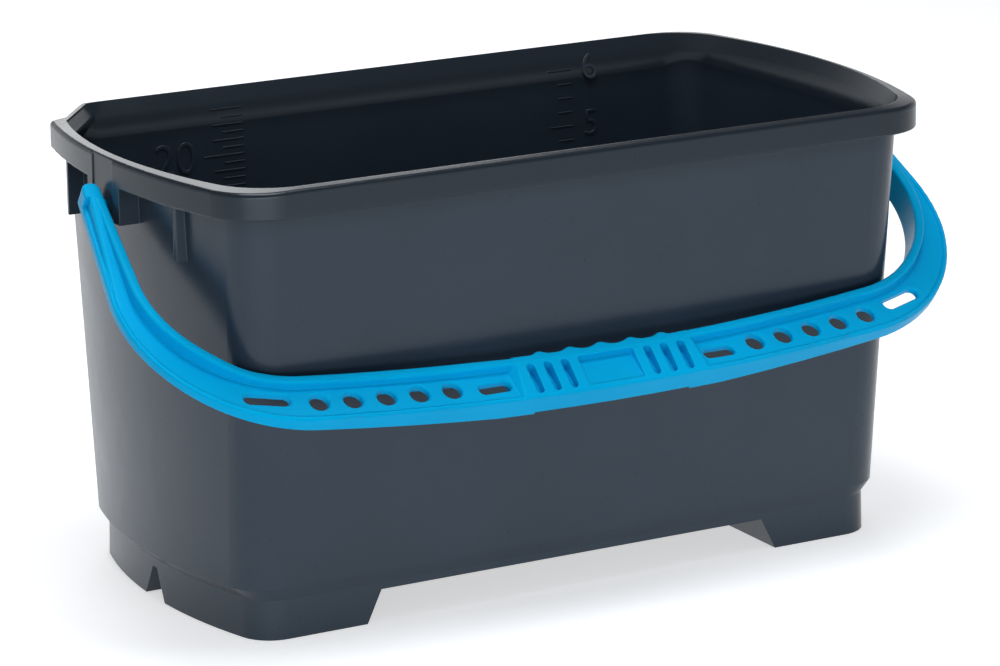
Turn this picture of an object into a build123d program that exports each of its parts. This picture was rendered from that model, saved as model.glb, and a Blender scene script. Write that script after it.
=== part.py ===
from build123d import *
import os
from math import asin, cos, degrees, hypot, radians, sin

# Window cleaning bucket: a moulded tub and a bail handle that snaps into its ends.
# Millimetres, +Z up, +X along the long side, -Y towards the side where the handle hangs.
# The origin is on the ground, under the middle of the whole bucket with its handle hanging.

# Tub, overall, and how far its middle lies behind the origin
tub_height = 268.2
tub_set_back = 11.7
tub_wall = 2.5
floor_wall = 3.0

# Rim: a sloping flange turned outwards, with a skirt hanging from its edge
rim_half_length = 247.0
rim_half_width = 135.0
rim_end_radius = 400.0
rim_corner_radius = 35.0
rim_overhang = 11.5
rim_top_wall = 4.2
rim_fall = 1.3
rim_edge_round = 2.6
skirt_height = 16.7
skirt_wall = 3.0
skirt_edge_round = 0.8

# Mouth: the inner edge of the rim, which is also its crest, and the flare of the wall below it
mouth_inset = 5.5
mouth_end_radius = 310.0
mouth_corner_radius = 40.0
flare_height = 14.0
flare_round = 24.0
flare_wall = 2.6

# Lower edge of the drafted walls
base_height = 30.5
base_end_inset = 19.0
base_half_width = 108.5
base_end_radius = 340.0
base_corner_radius = 27.0

# Feet: hollow boxes at both ends, closed below, parted by a gap and by a narrow channel
foot_height = 23.5
foot_end_inset = 6.5
foot_half_width = 106.0
foot_end_radius = 330.0
foot_corner_radius = 21.0
foot_flare = 0.6
gap_height = 19.3
gap_half_ground = 138.0
gap_half_top = 128.5
channel_height = 19.0
channel_half_ground = 12.5
channel_half_top = 2.5

# Pour spout: a flat facet across the back left corner, with a ramp inside its lip
spout_turn = 38.2
spout_inset = 16.9
spout_lean = 9.0
ramp_run = 9.0
ramp_fall = 7.0
ramp_depth = 22.0
ramp_round = 3.0
end_rim_stop = 99.0

# Pivot ears under the rim at both ends, and the rib plates beside them
pivot_drop = 29.7
ear_half_width = 21.0
ear_below_pivot = 8.0
ear_wall = 5.0
ear_plate = 2.5
relief_half_width = 13.5
relief_depth = 0.9
rib_offset = 67.5
rib_plate = 3.0
rib_set_back_front = 7.0
rib_set_back_back = 2.5
rib_bottom = 220.0
rib_bottom_fall = 2.0

# Handle pins
pin_radius = 3.6
pin_clearance = 0.08
barb_rise = 0.7
barb_length = 2.4
barb_gap = 0.4

# Handle outline, in its own plane: half widths from the middle, drops from the pivot axis
arm_gap = 0.6
arm_width = 10.4
arm_flare_inside = 11.0
arm_flare_outside = 27.0
tip_rise = 11.0
tip_round = 4.9
bow_reach = 25.6
bow_sag_inside = 23.2
bow_width = 28.4
bow_sag_outside = 24.4
bend_inside = 76.0
bend_outside = 96.0
rest_gap = 0.6

# Handle section, measured from the upper face of its web
web_wall = 4.2
bead_rise = 5.5
bead_rise_arm = 8.5
bead_wall = 5.8
bead_back_bow = 9.0
bead_back_arm = 11.0
bead_taper_start = 212.0
bead_taper_end = 240.0
bead_round = 1.8
lip_rise = 1.4
lip_wall = 3.4
lip_back_middle = 13.0
lip_taper_start = 74.0
lip_taper_end = 260.0
lip_round = 1.6
arm_ramp_start = 78.0
arm_ramp_inset = 2.6
arm_ramp_round = 2.0

# Finger grip in the middle of the handle
grip_half_length = 57.0
grip_back = 11.5
grip_end_run = 5.5
grip_flat = 2.4
grip_step_half_length = 51.5
grip_round = 1.4
finger_pitch = 20.2
finger_count = 5
finger_rise = 3.6
finger_round = 5.0
pocket_count = 3
pocket_first = 27.4
pocket_pitch = 11.1
pocket_width = 5.2
pocket_length = 19.6
pocket_depth = 7.5
pocket_margin = 5.4
panel_length = 36.8
panel_floor = 0.8

# Holes through the web on each side of the grip
hole_count = 5
hole_first = 100.4
hole_pitch = 20.2
hole_diameter = 11.5
hole_edge = 1.0
hole_margin = 14.0
short_slot_offset = 74.2
short_slot_length = 20.5
short_slot_width = 7.0
short_slot_margin = 12.3
long_slot_inset = 37.3
long_slot_length = 27.0
long_slot_width = 8.0
long_slot_margin = 18.3
long_slot_turn = 15.0

# What follows from these sizes
base_half_length = rim_half_length - base_end_inset
foot_half_length = base_half_length - foot_end_inset
pivot_height = tub_height - pivot_drop
skirt_bottom = tub_height - skirt_height
ear_bottom = pivot_height - ear_below_pivot
arm_inner = rim_half_length + arm_gap
bow_middle_inside = rim_half_width + bow_reach
bow_middle_outside = bow_middle_inside + bow_width
long_slot_offset = arm_inner - long_slot_inset
reach = 2 * (rim_half_length + rim_half_width)


def plan(half_length, half_width, end_radius, corner_radius):
    """Plan outline: straight long sides, ends bowed outwards, round corners."""
    shape = Rectangle(2 * half_length + rim_overhang, 2 * half_width)
    for turn in (0, 180):
        bow = Pos(end_radius - half_length, 0) * Circle(end_radius)
        shape = shape & Rot(0, 0, turn) * bow
    return fillet(shape.vertices(), corner_radius)


def rim_plan(inset):
    """The rim's outline drawn in by inset."""
    return plan(
        rim_half_length - inset,
        rim_half_width - inset,
        rim_end_radius - inset,
        rim_corner_radius - inset,
    )


def mouth_plan(grow):
    """The outline of the mouth, grown outwards."""
    return plan(
        rim_half_length - mouth_inset + grow,
        rim_half_width - mouth_inset + grow,
        mouth_end_radius + grow,
        mouth_corner_radius + grow,
    )


def base_plan(inset):
    """The outline at the lower edge of the drafted walls, drawn in by inset."""
    return plan(
        base_half_length - inset,
        base_half_width - inset,
        base_end_radius - inset,
        base_corner_radius - inset,
    )


def wall_plan(height, inset):
    """The outline of the drafted walls at a height, drawn in by inset."""
    share = (height - base_height) / (tub_height - base_height)
    out_length = rim_half_length - rim_overhang - base_half_length
    out_width = rim_half_width - rim_overhang - base_half_width
    out_end = rim_end_radius - rim_overhang - base_end_radius
    out_corner = rim_corner_radius - rim_overhang - base_corner_radius
    return plan(
        base_half_length + share * out_length - inset,
        base_half_width + share * out_width - inset,
        base_end_radius + share * out_end - inset,
        base_corner_radius + share * out_corner - inset,
    )


def foot_plan(inset):
    """The outline of the feet at their upper edge, drawn in by inset."""
    return plan(
        foot_half_length - inset,
        foot_half_width - inset,
        foot_end_radius - inset,
        foot_corner_radius - inset,
    )


def prism_along_y(points, half_length):
    """A profile of (x, z) points, extruded both ways along Y."""
    face = Plane.XZ * make_face(Polyline(*points, close=True))
    return extrude(face, half_length, both=True)


def prism_along_x(points, half_length):
    """A profile of (y, z) points, extruded both ways along X."""
    face = Plane.YZ * make_face(Polyline(*points, close=True))
    return extrude(face, half_length, both=True)


def tapered_void(half_ground, half_top, height, grow, grow_top):
    """Profile of a gap under the floor, narrower at its top, grown by a wall."""
    slope = (half_ground - half_top) / height
    side_grow = grow * hypot(1, slope)
    top = height + grow_top
    below = -floor_wall
    half_upper = half_top - slope * grow_top + side_grow
    half_lower = half_ground - slope * below + side_grow
    return [(-half_lower, below), (-half_upper, top), (half_upper, top), (half_lower, below)]


def spout_plane(inset):
    """The facet across the back left corner, drawn in by inset; its normal points outwards."""
    corner_x = rim_half_length - rim_overhang - rim_corner_radius
    corner_y = rim_half_width - rim_corner_radius
    outward = Vector(-cos(radians(spout_turn)), sin(radians(spout_turn)), 0)
    middle = Vector(-corner_x, corner_y, tub_height) + outward * (rim_corner_radius - spout_inset)
    lean = radians(spout_lean)
    normal = outward * cos(lean) + Vector(0, 0, sin(lean))
    along = outward.cross(Vector(0, 0, 1))
    return Plane(middle - normal * inset, x_dir=along, z_dir=normal)


def tub_block(inset, lift, crown):
    """The tub's body as a solid block, drawn in by inset, raised off the ground by lift, under a crown."""
    flare = foot_flare * (1 - lift / foot_height)
    flare_bottom = tub_height - flare_height
    sections = [
        Pos(0, 0, lift) * foot_plan(inset - flare),
        Pos(0, 0, foot_height) * foot_plan(inset),
        Pos(0, 0, base_height) * base_plan(inset),
        Pos(0, 0, flare_bottom) * wall_plan(flare_bottom, inset),
    ]
    block = loft(sections + crown, ruled=True)
    bend = block.edges().filter_by_position(Axis.Z, flare_bottom - tub_wall, flare_bottom + tub_wall)
    block = fillet(bend, flare_round)
    gap = tapered_void(gap_half_ground, gap_half_top, gap_height, inset, lift)
    block -= prism_along_y(gap, rim_half_width)
    channel = tapered_void(channel_half_ground, channel_half_top, channel_height, inset, lift)
    block -= prism_along_x(channel, rim_half_length)
    beyond = Box(reach, reach, reach, align=(Align.CENTER, Align.CENTER, Align.MIN))
    return block - spout_plane(inset) * beyond


def outer_block():
    """The tub's body without its hollow; the wall flares out to the crest of the rim."""
    crown = [
        Pos(0, 0, tub_height - rim_top_wall / 2) * mouth_plan(flare_wall),
        Pos(0, 0, tub_height) * mouth_plan(0),
    ]
    return tub_block(0, 0, crown)


def inner_block():
    """The hollow of the tub, open at the mouth."""
    crown = [
        Pos(0, 0, tub_height) * mouth_plan(0),
        Pos(0, 0, tub_height + rim_top_wall) * mouth_plan(0),
    ]
    return tub_block(tub_wall, floor_wall, crown)


def rim_flange():
    """The rim's flange and skirt, solid across the middle, open where the spout is."""
    edge_height = tub_height - rim_fall
    sections = [
        Pos(0, 0, skirt_bottom) * rim_plan(0),
        Pos(0, 0, edge_height) * rim_plan(0),
        Pos(0, 0, tub_height) * mouth_plan(0),
    ]
    flange = loft(sections, ruled=True)
    edge = flange.edges().filter_by_position(Axis.Z, edge_height - rim_fall / 2, edge_height + rim_fall / 2)
    flange = fillet(edge, rim_edge_round)
    hollow_height = skirt_height - rim_top_wall
    flange -= Pos(0, 0, skirt_bottom) * extrude(rim_plan(skirt_wall), hollow_height)
    flange = fillet(flange.faces().sort_by(Axis.Z)[0].outer_wire().edges(), skirt_edge_round)
    lip = spout_plane(0)
    start = lip.origin - lip.x_dir * rim_corner_radius
    end = lip.origin + lip.x_dir * rim_corner_radius
    corner = [(start.X, start.Y), (end.X, end.Y), (-reach, end.Y), (-reach, start.Y)]
    cut = extrude(make_face(Polyline(*corner, close=True)), tub_height + rim_top_wall)
    keep_end = Box(reach, reach, reach, align=(Align.CENTER, Align.MAX, Align.CENTER))
    return flange - (cut - Pos(0, end_rim_stop, 0) * keep_end)


def spout_ramp():
    """The sloping thick lip on the inside of the spout's facet."""
    lip = spout_plane(0)
    outward = Vector(lip.z_dir.X, lip.z_dir.Y, 0).normalized()
    section = Plane(lip.origin - lip.x_dir * rim_corner_radius, x_dir=outward, z_dir=lip.x_dir)
    points = [(0, 0), (-ramp_run, -ramp_fall), (0, -ramp_depth)]
    profile = make_face(Polyline(*points, close=True))
    profile = fillet(profile.vertices().sort_by(Axis.X)[0], ramp_round)
    return extrude(section * profile, 2 * rim_corner_radius)


def end_details():
    """The ears that carry the handle and the rib plates under the rim, at the +X end."""
    height = tub_height - rim_top_wall - ear_bottom
    ring = extrude(rim_plan(0), height) - extrude(rim_plan(ear_wall), height)
    ear_box = Box(
        reach,
        2 * ear_half_width,
        height,
        align=(Align.MIN, Align.CENTER, Align.MIN),
    )
    details = Pos(0, 0, ear_bottom) * (ring & ear_box)
    wall_x = base_half_length - tub_wall / 2
    plate = Box(
        rim_half_length - ear_wall / 2 - wall_x,
        ear_plate,
        height,
        align=(Align.MIN, Align.CENTER, Align.MIN),
    )
    for side in (-1, 1):
        plate_y = side * (ear_half_width - ear_plate / 2)
        details += Pos(wall_x, plate_y, ear_bottom) * plate
    rib_low = rib_bottom - rib_bottom_fall
    rib_top = tub_height - rim_top_wall
    profile = [(wall_x, rib_low), (wall_x, rib_top), (reach, rib_top)]
    profile += [(reach, rib_bottom), (rim_half_length - rim_overhang, rib_low)]
    rib = prism_along_y(profile, rib_plate / 2)
    for side, set_back in ((-1, rib_set_back_front), (1, rib_set_back_back)):
        rib_zone = Pos(0, 0, rib_low) * extrude(rim_plan(set_back), tub_height)
        details += rib_zone & Pos(0, side * rib_offset, 0) * rib
    return details


def end_cuts():
    """The relief that the raised arm swings through and the hole for its pin, at the +X end."""
    relief_x = rim_half_length - relief_depth
    relief = Pos(relief_x, 0, ear_bottom) * Box(
        rim_overhang,
        2 * relief_half_width,
        tub_height,
        align=(Align.MIN, Align.CENTER, Align.MIN),
    )
    hole_start = rim_half_length - ear_wall - barb_gap
    hole = Plane(origin=(hole_start, 0, pivot_height), z_dir=(1, 0, 0)) * Cylinder(
        pin_radius + pin_clearance,
        rim_overhang,
        align=(Align.CENTER, Align.CENTER, Align.MIN),
    )
    return relief + hole


def make_tub():
    """The whole tub as one moulding."""
    body = outer_block()
    tub = body + rim_flange()
    details = end_details()
    tub += details
    tub += mirror(details, about=Plane.YZ)
    tub -= inner_block()
    tub += spout_ramp() & body
    cuts = end_cuts()
    tub -= cuts
    tub -= mirror(cuts, about=Plane.YZ)
    return tub


def bow_face(half_top, half_corner, drop_corner, drop_middle, bend):
    """The space inside a bail outline, from the arms' tips down, with drops along -Y."""
    arm_left = Line((-half_top, tip_rise), (-half_corner, -drop_corner))
    bow = ThreePointArc(
        (-half_corner, -drop_corner),
        (0, -drop_middle),
        (half_corner, -drop_corner),
    )
    arm_right = Line((half_corner, -drop_corner), (half_top, tip_rise))
    closing = Line((half_top, tip_rise), (-half_top, tip_rise))
    face = make_face(Curve() + [arm_left, bow, arm_right, closing])
    lower = face.vertices().sort_by(Axis.Y)[:2]
    return fillet(lower, bend)


def inside_face():
    """The opening of the bail."""
    drop_corner = bow_middle_inside - bow_sag_inside
    return bow_face(
        arm_inner,
        arm_inner + arm_flare_inside,
        drop_corner,
        bow_middle_inside,
        bend_inside,
    )


def outside_face():
    """The outer outline of the bail."""
    drop_corner = bow_middle_outside - bow_sag_outside
    return bow_face(
        arm_inner + arm_width,
        arm_inner + arm_width + arm_flare_outside,
        drop_corner,
        bow_middle_outside,
        bend_outside,
    )


def slab(face, low, high):
    """A plane face extruded between two levels of the handle's section."""
    return Pos(0, 0, low) * extrude(face, high - low)


def drop_inside(offset):
    """How far the bow's inner edge lies below the pivot axis at a distance from the middle."""
    half = arm_inner + arm_flare_inside
    return bow_middle_inside - bow_sag_inside * (offset / half) ** 2


def drop_outside(offset):
    """How far the bow's outer edge lies below the pivot axis at a distance from the middle."""
    half = arm_inner + arm_width + arm_flare_outside
    return bow_middle_outside - bow_sag_outside * (offset / half) ** 2


def rest_tilt():
    """Angle from straight down at which the hanging handle lies rest_gap off the front wall."""
    offset = rim_half_length - rim_overhang - rim_corner_radius
    drop = drop_inside(offset)
    draft = (rim_half_width - rim_overhang - base_half_width) / (tub_height - base_height)
    tilt = radians(45)
    for _ in range(30):
        height = pivot_height - drop * cos(tilt) - bead_back_bow * sin(tilt)
        wall = base_half_width + draft * (height - base_height)
        tilt = asin((wall + rest_gap + bead_back_bow * cos(tilt)) / drop)
    return degrees(tilt)


def bail_outline(inside, outside):
    """The whole bail seen from above, with its arms ending in round tips."""
    band = outside - inside
    return fillet(band.vertices().group_by(Axis.Y)[-1], tip_round)


def raised_profile():
    """A block across the bail whose top rises smoothly from the bow to the arms."""
    points = [(-reach, bead_rise_arm), (-bead_taper_end, bead_rise_arm), (-bead_taper_start, bead_rise)]
    points += [(-point[0], point[1]) for point in reversed(points)]
    level = (1, 0)
    lines = [Line(points[0], points[1])]
    lines += [Spline(points[1], points[2], tangents=(level, level))]
    lines += [Line(points[2], points[3])]
    lines += [Spline(points[3], points[4], tangents=(level, level))]
    lines += [Line(points[4], points[5])]
    lines += [Line(points[5], (reach, -web_wall))]
    lines += [Line((reach, -web_wall), (-reach, -web_wall))]
    lines += [Line((-reach, -web_wall), points[0])]
    face = Plane.XZ * make_face(Curve() + lines)
    return extrude(face, reach, both=True)


def depth_profile(start, end, back_bow, back_arm, top):
    """A block across the bail whose back steps from the bow's depth to the arms' depth."""
    points = [(-reach, top), (-reach, -back_arm), (-end, -back_arm), (-start, -back_bow)]
    points += [(start, -back_bow), (end, -back_arm), (reach, -back_arm), (reach, top)]
    return prism_along_y(points, reach)


def inner_bead(inside, outline):
    """The raised bead along the inner edge, solid across the arms' tips, with a wall behind it."""
    band = outline & (offset(inside, bead_wall) - inside)
    tips = outline & Rectangle(2 * reach, 2 * tip_rise, align=(Align.CENTER, Align.MIN))
    raised = slab(band + tips, -web_wall, bead_rise_arm) & raised_profile()
    crest = raised.edges().filter_by_position(Axis.Z, bead_rise / 2, 2 * bead_rise_arm)
    along = [edge for edge in crest if abs(edge.tangent_at(0.5).Y) > 0.001 or edge.length > 2 * bead_wall]
    raised = fillet(along, bead_round)
    wall = slab(band, -bead_back_arm, 0)
    depth = depth_profile(bead_taper_start, bead_taper_end, bead_back_bow, bead_back_arm, 0)
    return raised + (wall & depth)


def outer_lip(outside, outline):
    """The wall along the outer edge, deepest in the middle and fading out along the arms."""
    below_tips = Pos(0, tip_rise / 4) * Rectangle(2 * reach, reach, align=(Align.CENTER, Align.MAX))
    band = outline & below_tips & (outside - offset(outside, -lip_wall))
    wall = slab(band, -lip_back_middle, lip_rise)
    wall = fillet(wall.faces().sort_by(Axis.Z)[-1].edges(), lip_round)
    depth = depth_profile(lip_taper_start, lip_taper_end, lip_back_middle, web_wall, lip_rise)
    return wall & depth


def arm_fill(outline):
    """The web of the arms, rising to the level of their tips, with a round outer edge."""
    points = [(-arm_ramp_start, 0), (0, bead_rise_arm), (tip_rise, bead_rise_arm)]
    points += [(tip_rise, -web_wall), (-arm_ramp_start, -web_wall)]
    core = slab(offset(outline, -arm_ramp_inset), -web_wall, bead_rise_arm)
    fill = core & prism_along_x(points, reach)
    outer = []
    for face in fill.faces():
        if 0.9 < face.normal_at().Z < 0.9999:
            sides = face.edges().filter_by(GeomType.LINE)
            outer.append(sides.sort_by(lambda edge: abs(edge.center().X))[-1])
    return fillet(outer, arm_ramp_round)


def grip_outline(inside, outside):
    """The finger grip seen from above, with its grooves on the inner edge."""
    half_zone = grip_half_length + grip_end_run
    zone = Pos(0, -bow_middle_inside) * Rectangle(2 * half_zone, 3 * bow_width)
    body = (outside - inside) & zone
    crest = bow_middle_inside - finger_rise
    half = finger_pitch * finger_count / 2
    bumps = Pos(0, -crest) * Rectangle(
        2 * half,
        finger_rise + bead_wall,
        align=(Align.CENTER, Align.MAX),
    )
    groove_radius = (finger_pitch**2 / 4 + finger_rise**2) / (2 * finger_rise)
    for index in range(finger_count + 1):
        groove_x = (index - finger_count / 2) * finger_pitch
        bumps -= Pos(groove_x, groove_radius - bow_middle_inside) * Circle(groove_radius)
    grip = body + bumps
    wave = grip.vertices().filter_by_position(Axis.X, -half, half)
    wave = wave.filter_by_position(Axis.Y, -bow_middle_inside - finger_rise, 0)
    return fillet(wave, finger_round)


def grip_block(inside, outside):
    """The finger grip: its top slopes from the bead down to the lip, its ends run out on the web."""
    low = -bead_back_bow
    block = slab(grip_outline(inside, outside), low, bead_rise)
    wave = block.faces().sort_by(Axis.Z)[-1].edges()
    wave = wave.filter_by_position(Axis.Y, -bow_middle_inside - finger_rise, 0)
    block = fillet(wave, grip_round)
    inner = bow_width - bow_middle_inside
    bend = -bow_middle_inside - grip_flat
    slope = [(inner, bead_rise), (bend, bead_rise), (-bow_middle_outside, lip_rise)]
    slope += [(-reach, lip_rise), (-reach, low), (inner, low)]
    block &= prism_along_x(slope, reach)
    half_zone = grip_half_length + grip_end_run
    ends = [(-half_zone, 0), (-grip_half_length, bead_rise), (grip_half_length, bead_rise)]
    ends += [(half_zone, 0), (half_zone, low), (-half_zone, low)]
    block &= prism_along_y(ends, reach)
    sloped = block.faces().filter_by_position(Axis.Y, -reach, bend).sort_by(Axis.Z)[-1]
    sides = sloped.edges().filter_by_position(Axis.Y, -reach, bend - grip_flat)
    return fillet(sides, grip_round)


def pockets():
    """The blind pockets beside the grip's panel, as solids to cut away."""
    middle = bow_middle_inside + pocket_margin + pocket_length / 2
    shape = SlotOverall(pocket_length, pocket_width, rotation=90)
    cut = slab(shape, bead_rise - pocket_depth, bead_rise)
    solids = []
    for side in (-1, 1):
        for index in range(pocket_count):
            pocket_x = side * (pocket_first + index * pocket_pitch)
            solids.append(Pos(pocket_x, -middle, 0) * cut)
    return solids


def panel():
    """The shallow panel in the middle of the grip, as a solid to cut away."""
    middle = bow_middle_inside + pocket_margin + pocket_length / 2
    shape = Pos(0, -middle) * Rectangle(panel_length, pocket_length)
    shape = fillet(shape.vertices(), grip_round)
    return slab(shape, panel_floor, bead_rise)


def dished_slot(length, width):
    """A slot through the web with a chamfered edge, as a solid to cut away."""
    narrow = SlotOverall(length, width)
    wide = SlotOverall(length + 2 * hole_edge, width + 2 * hole_edge)
    return slab(narrow, -2 * web_wall, web_wall) + loft([Pos(0, 0, -hole_edge) * narrow, wide])


def web_holes():
    """The round holes and slots through the web, as solids to cut away."""
    radius = hole_diameter / 2
    round_hole = slab(Circle(radius), -2 * web_wall, web_wall)
    round_hole += Pos(0, 0, -hole_edge / 2) * Cone(radius, radius + hole_edge, hole_edge)
    short_slot = dished_slot(short_slot_length, short_slot_width)
    long_slot = dished_slot(long_slot_length, long_slot_width)
    solids = []
    for side in (-1, 1):
        for index in range(hole_count):
            hole_x = hole_first + index * hole_pitch
            solids.append(Pos(side * hole_x, hole_margin - drop_outside(hole_x), 0) * round_hole)
        short_y = short_slot_margin - drop_outside(short_slot_offset)
        solids.append(Pos(side * short_slot_offset, short_y, 0) * short_slot)
        long_y = long_slot_margin - drop_outside(long_slot_offset)
        turned = Rot(0, 0, side * long_slot_turn) * long_slot
        solids.append(Pos(side * long_slot_offset, long_y, 0) * turned)
    return solids


def pin():
    """The snap pin on the inner face of the arm, at the +X end."""
    low = (Align.CENTER, Align.CENTER, Align.MIN)
    root = arm_inner + bead_wall
    barb_outer = rim_half_length - ear_wall - barb_gap
    barb_inner = barb_outer - barb_length
    shape = Pos(0, 0, barb_inner) * Cylinder(pin_radius, root - barb_inner, align=low)
    barb = Cone(pin_radius - barb_rise, pin_radius + barb_rise, barb_length, align=low)
    shape += Pos(0, 0, barb_inner) * barb
    return Plane(origin=(0, 0, 0), z_dir=(1, 0, 0)) * shape


def make_handle():
    """The bail handle as one moulding, hanging in front of the tub."""
    inside = inside_face()
    outside = outside_face()
    outline = bail_outline(inside, outside)
    handle = slab(outline, -web_wall, 0)
    handle += inner_bead(inside, outline)
    handle += outer_lip(outside, outline)
    handle += arm_fill(outline)
    handle += grip_block(inside, outside)
    low_step = Box(
        2 * grip_step_half_length,
        bow_width,
        lip_back_middle,
        align=(Align.CENTER, Align.MAX, Align.MAX),
    )
    handle -= Pos(0, -bow_middle_inside, -grip_back) * low_step
    handle -= pockets()
    handle -= panel()
    handle -= web_holes()
    handle += pin()
    handle += Rot(0, 180, 0) * pin()
    tilt = radians(rest_tilt())
    hanging = Plane(
        origin=(0, 0, pivot_height),
        x_dir=(1, 0, 0),
        z_dir=(0, -cos(tilt), sin(tilt)),
    )
    return hanging * handle


os.makedirs("parts", exist_ok=True)
export_step(Pos(0, tub_set_back, 0) * make_tub(), "parts/tub.step")
export_step(Pos(0, tub_set_back, 0) * make_handle(), "parts/bail_handle.step")
print("handle hangs", round(rest_tilt(), 2), "degrees from straight down")
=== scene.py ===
from math import cos, radians, sin

import bmesh
import bpy
from mathutils import Matrix, Vector


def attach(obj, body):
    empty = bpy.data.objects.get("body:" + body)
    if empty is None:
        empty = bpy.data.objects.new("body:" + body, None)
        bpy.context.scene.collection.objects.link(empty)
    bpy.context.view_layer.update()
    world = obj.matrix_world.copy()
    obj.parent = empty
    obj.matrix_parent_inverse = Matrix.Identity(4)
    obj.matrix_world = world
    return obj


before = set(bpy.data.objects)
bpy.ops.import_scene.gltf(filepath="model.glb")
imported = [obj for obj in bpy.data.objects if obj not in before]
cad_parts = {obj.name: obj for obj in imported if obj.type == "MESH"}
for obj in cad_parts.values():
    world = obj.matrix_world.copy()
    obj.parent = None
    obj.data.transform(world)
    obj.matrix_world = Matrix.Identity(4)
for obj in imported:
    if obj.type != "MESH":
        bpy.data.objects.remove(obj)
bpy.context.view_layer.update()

# Window cleaning bucket: looks for the moulded tub and its bail handle.
# Metres, +Z up, +X along the long side, -Y towards the side where the handle hangs.

# Camera: where it stands and what it looks at
TUB_MIDDLE = Vector((0.0, 0.0117, 0.140))
CAMERA_TURN = 28.95
CAMERA_RISE = 14.89
CAMERA_ROLL = -0.61
CAMERA_DISTANCE = 2.731
CAMERA_AIM_RIGHT = 0.00867
CAMERA_AIM_UP = -0.01124
CAMERA_LENS = 164.45
CAMERA_SENSOR = 36.0

# Surroundings: white near the horizon, dim overhead, and what lifts the floor to white
SKY_LOW = 1.0
SKY_OVERHEAD = 0.22
SKY_FALL_START = 0.15
SKY_FALL_END = 0.45
FLOOR_LIFT = 0.56
FLOOR_COLOUR = (0.80, 0.82, 0.86, 1.0)
FLOOR_REACH = 12.0
FLOOR_SQUARES = 8

# Soft lights: name, place, the point that it faces, width and height, watts
SOFTBOXES = (
    ("overhead", (-0.1, -0.15, 1.6), (0.0, 0.0, 0.1), (1.0, 0.7), 15.0),
    ("back", (0.50, 1.55, 1.15), (0.0, 0.0, 0.25), (0.95, 1.05), 7.5),
    ("front", (-0.8, -2.0, 0.20), (0.0, 0.0, 0.15), (2.4, 0.35), 18.0),
)

# Both plastics: how strongly they bend light, and how far an edge's rounded normal leans away
PLASTIC_IOR = 1.49
EDGE_SAMPLES = 6
EDGE_LEAN_NONE = 0.995
EDGE_LEAN_FULL = 0.80

# Tub's plastic. A noise is scale, detail and roughness; a bump is strength and depth
TUB_SPECULAR = 0.42
TUB_TINT = (0.82, 0.93, 1.0, 1.0)
TUB_DARK = (0.0190, 0.0300, 0.0460)
TUB_PALE = (0.0225, 0.0345, 0.0520)
TUB_CLOUD_NOISE = (9.0, 4.0, 0.6)
TUB_CLOUD_RANGE = (0.35, 0.65)
TUB_SPECK = (0.0070, 0.0085, 0.0110)
TUB_SPECK_AMOUNT = 0.75
TUB_SPECK_NOISE = (620.0, 2.0, 0.5)
TUB_SPECK_RANGE = (0.69, 0.75)
TUB_EDGE = (0.0600, 0.0760, 0.0980)
TUB_EDGE_AMOUNT = 0.40
TUB_EDGE_RADIUS = 0.0008
TUB_ROUGHNESS = (0.20, 0.30)
TUB_ROUGHNESS_NOISE = (30.0, 5.0, 0.6)
TUB_GRAIN_NOISE = (1500.0, 2.0, 0.6)
TUB_GRAIN_BUMP = (0.12, 0.0002)
TUB_WAVE_NOISE = (11.0, 1.0, 0.4)
TUB_WAVE_BUMP = (0.15, 0.0010)

# Rim: painted shade, a darker colour standing in for the dimmer reflections of its skirt and top,
# and the heights between which the walls' colour turns into it
RIM_PAINTED_SHADE = (0.0095, 0.0155, 0.0240)
RIM_SHADE_LOW = 0.236
RIM_SHADE_HIGH = 0.257

# Handle's plastic, in the same terms as the tub's
HANDLE_SPECULAR = 0.14
HANDLE_TINT = (0.02, 0.70, 1.0, 1.0)
HANDLE_DARK = (0.0006, 0.375, 0.725)
HANDLE_PALE = (0.0010, 0.400, 0.765)
HANDLE_CLOUD_NOISE = (16.0, 3.0, 0.5)
HANDLE_CLOUD_RANGE = (0.3, 0.7)
# Edge colour: painted highlight, a paler cyan along the edges that stands in for glints
HANDLE_EDGE_GLINT = (0.0120, 0.540, 0.900)
HANDLE_GLINT_AMOUNT = 0.65
HANDLE_EDGE_RADIUS = 0.0009
HANDLE_ROUGHNESS = (0.28, 0.40)
HANDLE_ROUGHNESS_NOISE = (60.0, 4.0, 0.6)
HANDLE_GRAIN_NOISE = (900.0, 2.0, 0.5)
HANDLE_GRAIN_BUMP = (0.08, 0.0002)

# Volumes: litres and gallons, and the water's surface at the full line and at the floor
LITRE = 0.001
GALLON_LITRES = 3.785
FULL_LITRES = 20
FULL_HEIGHT = 0.2282
FLOOR_HEIGHT = 0.030
AREA_AT_FULL = 0.1067
AREA_AT_FLOOR = 0.0929
FILLING_STEPS = 40

# Raised marks on the inside of the back wall: bars with sloping sides, and plain numbers
MARK_RISE = 0.00035
TICK_WIDTH = 0.0011
TICK_LONG = 0.0065
TICK_PROFILE = ((1.0, -0.2), (1.0, 0.3), (0.55, 1.0))  # shares of the width and of the rise
DIGIT_SHARE = 0.73  # height of a digit as a share of the font's size
NUMBER_BEVEL = 0.4  # share of the rise
NUMBER_THINNING = 0.7  # share of the rise

# Litre scale on the left, with a tick each half litre
FIRST_LITRE = 1
TOP_LITRES = 23
NUMBER_EVERY = 5
TICK_LEFT = -0.1200
TICK_RIGHT = -0.0995
NUMBER_RIGHT = -0.1315
NUMBER_HEIGHT = 0.0205

# Gallon scale on the right, with a tick each quarter gallon
FIRST_QUARTER = 2
GALLON_TOP = 6
GALLON_TICK_LEFT = 0.1130
GALLON_TICK_RIGHT = 0.1300
GALLON_NUMBER_LEFT = 0.1370
GALLON_NUMBER_HEIGHT = 0.0175

# Shader graphs: spacing of the nodes, and the colour sockets of a mix node
GRAPH_STEP = 220
MIX_FIRST = 6
MIX_SECOND = 7
MIX_RESULT = 2


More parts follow.
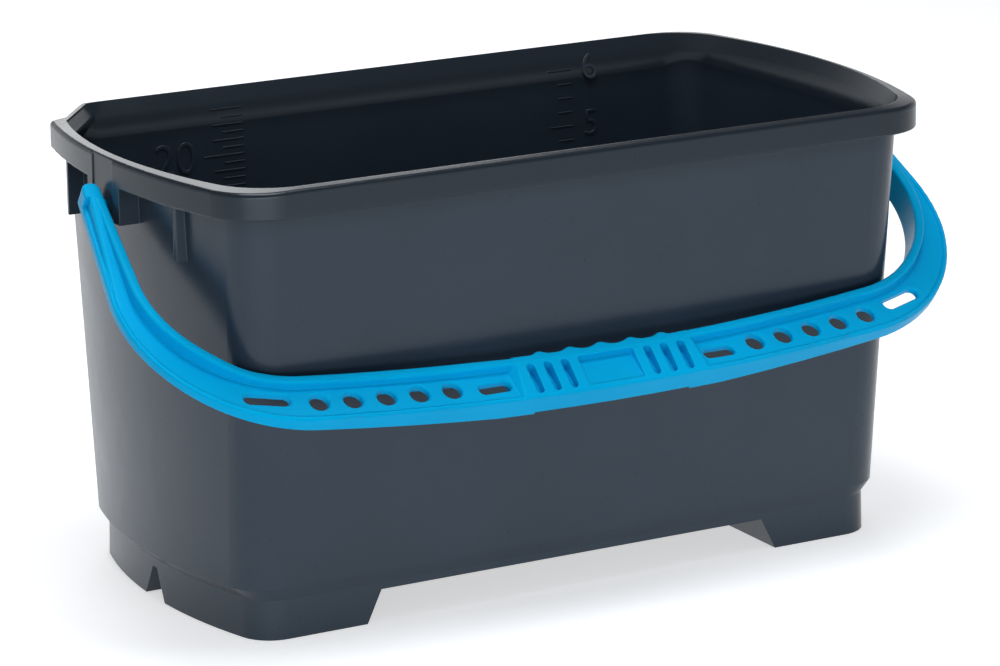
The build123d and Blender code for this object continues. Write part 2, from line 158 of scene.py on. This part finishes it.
def node(tree, kind, place, inputs=None, **settings):
    """A shader node at a column and row of the graph, with its constant inputs and settings."""
    made = tree.nodes.new(kind)
    made.location = (place[0] * GRAPH_STEP, -place[1] * GRAPH_STEP)
    for key, value in settings.items():
        setattr(made, key, value)
    for key, value in (inputs or {}).items():
        made.inputs[key].default_value = value
    return made


def material(name):
    """An empty node material, its graph and its output node."""
    made = bpy.data.materials.new(name)
    made.use_nodes = True
    tree = made.node_tree
    tree.nodes.clear()
    return made, tree, node(tree, "ShaderNodeOutputMaterial", (8, 0))


def ramp(tree, place, source, low, high):
    """Maps a value from low..high to 0..1, smoothly."""
    span = {"From Min": low, "From Max": high}
    made = node(tree, "ShaderNodeMapRange", place, span, interpolation_type="SMOOTHSTEP")
    tree.links.new(source, made.inputs["Value"])
    return made.outputs["Result"]


def spread(tree, place, source, low, high):
    """Maps a value from 0..1 to low..high, evenly."""
    made = node(tree, "ShaderNodeMapRange", place, {"To Min": low, "To Max": high})
    tree.links.new(source, made.inputs["Value"])
    return made.outputs["Result"]


def noise(tree, place, where, scale, detail, roughness):
    """A noise value over the object's own coordinates."""
    grain = {"Scale": scale, "Detail": detail, "Roughness": roughness}
    made = node(tree, "ShaderNodeTexNoise", place, grain)
    tree.links.new(where, made.inputs["Vector"])
    return made.outputs["Fac"]


def bump(tree, place, source, strength, depth, normal):
    """A normal tilted by a height value."""
    made = node(tree, "ShaderNodeBump", place, {"Strength": strength, "Distance": depth})
    tree.links.new(source, made.inputs["Height"])
    tree.links.new(normal, made.inputs["Normal"])
    return made.outputs["Normal"]


def mix_colour(tree, place, factor, first, second, amount=1.0):
    """Blends two colours; each may be a constant or an output of another node."""
    made = node(tree, "ShaderNodeMix", place, data_type="RGBA")
    if amount < 1.0:
        beside = (place[0] - 0.5, place[1] + 0.5)
        scaled = node(tree, "ShaderNodeMath", beside, {1: amount}, operation="MULTIPLY")
        tree.links.new(factor, scaled.inputs[0])
        factor = scaled.outputs[0]
    tree.links.new(factor, made.inputs["Factor"])
    for socket, value in ((MIX_FIRST, first), (MIX_SECOND, second)):
        if isinstance(value, tuple):
            made.inputs[socket].default_value = value + (1.0,)
        else:
            tree.links.new(value, made.inputs[socket])
    return made.outputs[MIX_RESULT]


def edge_mask(tree, place, radius):
    """1 along the object's edges, 0 on its open faces, and the normal rounded over those edges."""
    column, row = place
    bevel = node(tree, "ShaderNodeBevel", place, {"Radius": radius}, samples=EDGE_SAMPLES)
    shape = node(tree, "ShaderNodeNewGeometry", (column, row + 1))
    dot = node(tree, "ShaderNodeVectorMath", (column + 1, row), operation="DOT_PRODUCT")
    tree.links.new(bevel.outputs["Normal"], dot.inputs[0])
    tree.links.new(shape.outputs["Normal"], dot.inputs[1])
    lean = dot.outputs["Value"]
    edges = ramp(tree, (column + 2, row), lean, EDGE_LEAN_NONE, EDGE_LEAN_FULL)
    return edges, bevel.outputs["Normal"]


def plastic(name, specular, tint):
    """A moulded plastic still without colour: material, graph, shader and object coordinates."""
    made, tree, out = material(name)
    where = node(tree, "ShaderNodeTexCoord", (0, 0)).outputs["Object"]
    shader = node(tree, "ShaderNodeBsdfPrincipled", (7, 0))
    shader.inputs["IOR"].default_value = PLASTIC_IOR
    shader.inputs["Specular IOR Level"].default_value = specular
    shader.inputs["Specular Tint"].default_value = tint
    tree.links.new(shader.outputs["BSDF"], out.inputs["Surface"])
    return made, tree, shader, where


def tub_plastic():
    """Dark graphite polypropylene: satin, faintly mottled, with specks, paler worn edges and
    painted shade on its top band.
    """
    made, tree, shader, where = plastic("tub_plastic", TUB_SPECULAR, TUB_TINT)
    edges, rounded = edge_mask(tree, (1, 4), TUB_EDGE_RADIUS)

    cloud = noise(tree, (1, 0), where, *TUB_CLOUD_NOISE)
    cloud = ramp(tree, (2, 0), cloud, *TUB_CLOUD_RANGE)
    base = mix_colour(tree, (3, 0), cloud, TUB_DARK, TUB_PALE)
    height = node(tree, "ShaderNodeSeparateXYZ", (1, 5))
    tree.links.new(where, height.inputs[0])
    # Painted shade: towards the top the colour turns darker, on the skirt outside and on the band
    # inside
    rim_shade = ramp(tree, (2, 5), height.outputs["Z"], RIM_SHADE_LOW, RIM_SHADE_HIGH)
    base = mix_colour(tree, (3.5, 0), rim_shade, base, RIM_PAINTED_SHADE)
    specks = noise(tree, (1, 1), where, *TUB_SPECK_NOISE)
    specks = ramp(tree, (2, 1), specks, *TUB_SPECK_RANGE)
    base = mix_colour(tree, (4, 0), specks, base, TUB_SPECK, TUB_SPECK_AMOUNT)
    base = mix_colour(tree, (5, 0), edges, base, TUB_EDGE, TUB_EDGE_AMOUNT)
    tree.links.new(base, shader.inputs["Base Color"])

    gloss = noise(tree, (2, 2), where, *TUB_ROUGHNESS_NOISE)
    tree.links.new(spread(tree, (3, 2), gloss, *TUB_ROUGHNESS), shader.inputs["Roughness"])

    grain = noise(tree, (4, 3), where, *TUB_GRAIN_NOISE)
    normal = bump(tree, (5, 3), grain, *TUB_GRAIN_BUMP, rounded)
    wave = noise(tree, (4, 4), where, *TUB_WAVE_NOISE)
    normal = bump(tree, (6, 3), wave, *TUB_WAVE_BUMP, normal)
    tree.links.new(normal, shader.inputs["Normal"])
    return made


def handle_plastic():
    """Bright cyan blue polypropylene: smooth, with a soft gloss and edges made paler by painted
    highlights.
    """
    made, tree, shader, where = plastic("handle_plastic", HANDLE_SPECULAR, HANDLE_TINT)
    edges, rounded = edge_mask(tree, (1, 4), HANDLE_EDGE_RADIUS)

    cloud = noise(tree, (1, 0), where, *HANDLE_CLOUD_NOISE)
    cloud = ramp(tree, (2, 0), cloud, *HANDLE_CLOUD_RANGE)
    base = mix_colour(tree, (3, 0), cloud, HANDLE_DARK, HANDLE_PALE)
    # Painted highlight: the edges turn paler, standing in for glints
    base = mix_colour(tree, (4, 0), edges, base, HANDLE_EDGE_GLINT, HANDLE_GLINT_AMOUNT)
    tree.links.new(base, shader.inputs["Base Color"])

    gloss = noise(tree, (2, 2), where, *HANDLE_ROUGHNESS_NOISE)
    tree.links.new(spread(tree, (3, 2), gloss, *HANDLE_ROUGHNESS), shader.inputs["Roughness"])

    grain = noise(tree, (4, 3), where, *HANDLE_GRAIN_NOISE)
    normal = bump(tree, (5, 3), grain, *HANDLE_GRAIN_BUMP, rounded)
    tree.links.new(normal, shader.inputs["Normal"])
    return made


def seen_directly(tree, place):
    """1 for rays from the camera, a reflection or a clear material, 0 for rays that carry light."""
    column, row = place
    path = node(tree, "ShaderNodeLightPath", place)
    first = node(tree, "ShaderNodeMath", (column + 1, row), operation="MAXIMUM")
    second = node(tree, "ShaderNodeMath", (column + 2, row), operation="MAXIMUM")
    tree.links.new(path.outputs["Is Camera Ray"], first.inputs[0])
    tree.links.new(path.outputs["Is Glossy Ray"], first.inputs[1])
    tree.links.new(first.outputs[0], second.inputs[0])
    tree.links.new(path.outputs["Is Transmission Ray"], second.inputs[1])
    return second.outputs[0]


def floor_white():
    """Plain pale floor that reads as the white background and still takes the shadow."""
    made, tree, out = material("floor_white")
    matte = node(tree, "ShaderNodeBsdfDiffuse", (3, 0), {"Color": FLOOR_COLOUR})
    glow = node(tree, "ShaderNodeEmission", (3, 1), {"Strength": FLOOR_LIFT})
    both = node(tree, "ShaderNodeAddShader", (4, 0))
    tree.links.new(matte.outputs[0], both.inputs[0])
    tree.links.new(glow.outputs[0], both.inputs[1])
    pick = node(tree, "ShaderNodeMixShader", (5, 0))
    tree.links.new(seen_directly(tree, (0, 2)), pick.inputs["Fac"])
    tree.links.new(matte.outputs[0], pick.inputs[1])
    tree.links.new(both.outputs[0], pick.inputs[2])
    tree.links.new(pick.outputs[0], out.inputs["Surface"])
    return made


def add_floor():
    """A wide floor at the height of the feet."""
    shape = bmesh.new()
    bmesh.ops.create_grid(
        shape, x_segments=FLOOR_SQUARES, y_segments=FLOOR_SQUARES, size=FLOOR_REACH
    )
    mesh = bpy.data.meshes.new("floor")
    shape.to_mesh(mesh)
    shape.free()
    floor = bpy.data.objects.new("floor", mesh)
    bpy.context.scene.collection.objects.link(floor)
    floor.data.materials.append(floor_white())


def add_world():
    """Surroundings that are white near the horizon and fall off to a dim ceiling."""
    world = bpy.data.worlds.new("studio")
    bpy.context.scene.world = world
    world.use_nodes = True
    tree = world.node_tree
    tree.nodes.clear()
    out = node(tree, "ShaderNodeOutputWorld", (4, 0))
    split = node(tree, "ShaderNodeSeparateXYZ", (1, 0))
    around = node(tree, "ShaderNodeTexCoord", (0, 0))
    tree.links.new(around.outputs["Generated"], split.inputs[0])
    span = {
        "From Min": SKY_FALL_START,
        "From Max": SKY_FALL_END,
        "To Min": SKY_LOW,
        "To Max": SKY_OVERHEAD,
    }
    fall = node(tree, "ShaderNodeMapRange", (2, 0), span, interpolation_type="SMOOTHSTEP")
    tree.links.new(split.outputs["Z"], fall.inputs["Value"])
    light = node(tree, "ShaderNodeBackground", (3, 0))
    tree.links.new(fall.outputs["Result"], light.inputs["Strength"])
    tree.links.new(light.outputs[0], out.inputs["Surface"])


def add_softbox(name, place, target, size, power):
    """A rectangular soft light that faces a point."""
    lamp = bpy.data.lights.new(name, "AREA")
    lamp.shape = "RECTANGLE"
    lamp.size, lamp.size_y = size
    lamp.energy = power
    box = bpy.data.objects.new(name, lamp)
    bpy.context.scene.collection.objects.link(box)
    box.location = place
    box.rotation_euler = (Vector(target) - Vector(place)).to_track_quat("-Z", "Y").to_euler()
    box.visible_camera = False


def add_camera():
    """The photograph's camera."""
    turn, rise = radians(CAMERA_TURN), radians(CAMERA_RISE)
    back = Vector((-sin(turn) * cos(rise), -cos(turn) * cos(rise), sin(rise)))
    right = Vector((cos(turn), -sin(turn), 0.0))
    place = TUB_MIDDLE + back * CAMERA_DISTANCE
    aim = TUB_MIDDLE + right * CAMERA_AIM_RIGHT + back.cross(right) * CAMERA_AIM_UP
    back = (place - aim).normalized()
    right = Vector((0.0, 0.0, 1.0)).cross(back).normalized()
    axes = Matrix((right, back.cross(right), back)).transposed().to_4x4()
    roll = Matrix.Rotation(radians(CAMERA_ROLL), 4, "Z")
    data = bpy.data.cameras.new("camera")
    data.lens = CAMERA_LENS
    data.sensor_width = CAMERA_SENSOR
    camera = bpy.data.objects.new("camera", data)
    bpy.context.scene.collection.objects.link(camera)
    camera.matrix_world = Matrix.Translation(place) @ axes @ roll
    bpy.context.scene.camera = camera


def on_back_wall(x, z):
    """The point of the tub's inner back wall at a place, and the wall's inward normal there."""
    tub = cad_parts["tub"]
    _, point, normal, _ = tub.ray_cast(Vector((x, 0.0, z)), Vector((0.0, 1.0, 0.0)))
    return point, normal


def litre_height(litres):
    """Height of the water for a volume: the tub widens evenly from its floor upwards."""
    slope = (AREA_AT_FULL - AREA_AT_FLOOR) / (FULL_HEIGHT - FLOOR_HEIGHT)
    rest = (litres - FULL_LITRES) * LITRE / FILLING_STEPS
    height = FULL_HEIGHT
    for _ in range(FILLING_STEPS):
        height += rest / (AREA_AT_FULL + slope * (height - FULL_HEIGHT))
    return height


def add_tick(shape, left, right, z):
    """A raised bar with sloping sides along the back wall."""
    a, normal = on_back_wall(left, z)
    b, _ = on_back_wall(right, z)
    up = normal.cross((b - a).normalized())
    if up.z < 0:
        up = -up
    half = TICK_WIDTH / 2
    rows = []
    for grow, rise in TICK_PROFILE:
        lift = normal * MARK_RISE * rise
        along = (b - a).normalized() * half * (grow - 1.0)
        ring = [a - along - up * half * grow, b + along - up * half * grow]
        ring += [b + along + up * half * grow, a - along + up * half * grow]
        rows.append([shape.verts.new(point + lift) for point in ring])
    for low, high in zip(rows, rows[1:]):
        for i in range(4):
            j = (i + 1) % 4
            shape.faces.new((low[i], low[j], high[j], high[i]))
    shape.faces.new(rows[-1])
    shape.faces.new(list(reversed(rows[0])))


def add_ticks(name, marks):
    """One mesh of raised bars from (left, right, height) marks."""
    shape = bmesh.new()
    for left, right, z in marks:
        add_tick(shape, left, right, z)
    bmesh.ops.recalc_face_normals(shape, faces=shape.faces)
    mesh = bpy.data.meshes.new(name)
    shape.to_mesh(mesh)
    shape.free()
    return bpy.data.objects.new(name, mesh)


def add_number(name, text, x, z, height, align):
    """A raised number on the back wall, centred on a height."""
    data = bpy.data.curves.new(name, "FONT")
    data.body = text
    data.size = height / DIGIT_SHARE
    data.align_x = align
    data.align_y = "CENTER"
    data.extrude = MARK_RISE
    data.bevel_depth = MARK_RISE * NUMBER_BEVEL
    data.offset = -MARK_RISE * NUMBER_THINNING
    number = bpy.data.objects.new(name, data)
    point, normal = on_back_wall(x, z)
    across = Vector((1.0, 0.0, 0.0))
    up = normal.cross(across).normalized()
    axes = Matrix((across, up, normal)).transposed().to_4x4()
    number.matrix_world = Matrix.Translation(point) @ axes
    return number


def litre_scale():
    """Numbers and ticks for litres: short ticks at the halves, long ones at the numbers."""
    pieces, marks = [], []
    for halves in range(2 * FIRST_LITRE, 2 * TOP_LITRES + 1):
        z = litre_height(halves / 2)
        left = TICK_LEFT
        if halves % 2:
            left += TICK_LONG
        if halves % (2 * NUMBER_EVERY) == 0:
            left -= TICK_LONG
            text = "%d" % (halves // 2)
            name = "scale_number_" + text
            pieces.append(add_number(name, text, NUMBER_RIGHT, z, NUMBER_HEIGHT, "RIGHT"))
        marks.append((left, TICK_RIGHT, z))
    pieces.append(add_ticks("scale_ticks_litres", marks))
    return pieces


def gallon_scale():
    """Numbers and ticks for gallons: a number and a longer tick at each whole one."""
    pieces, marks = [], []
    for quarters in range(FIRST_QUARTER, 4 * GALLON_TOP + 1):
        z = litre_height(quarters * GALLON_LITRES / 4)
        left = GALLON_TICK_LEFT
        if quarters % 4:
            left += TICK_LONG
        else:
            text = "%d" % (quarters // 4)
            name = "scale_number_gallon_" + text
            x, height = GALLON_NUMBER_LEFT, GALLON_NUMBER_HEIGHT
            pieces.append(add_number(name, text, x, z, height, "LEFT"))
        marks.append((left, GALLON_TICK_RIGHT, z))
    pieces.append(add_ticks("scale_ticks_gallons", marks))
    return pieces


def add_scale(finish):
    """Litre marks on the left of the back wall, gallon marks on its right, plain numbers only."""
    for piece in litre_scale() + gallon_scale():
        bpy.context.scene.collection.objects.link(piece)
        piece.data.materials.append(finish)
        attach(piece, "tub")


graphite = tub_plastic()
blue = handle_plastic()
for name, finish in (("tub", graphite), ("bail_handle", blue)):
    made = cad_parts[name]
    made.data.materials.clear()
    made.data.materials.append(finish)

add_scale(graphite)
add_floor()
add_world()
for softbox in SOFTBOXES:
    add_softbox(*softbox)
add_camera()
bpy.context.scene.view_settings.view_transform = "Standard"
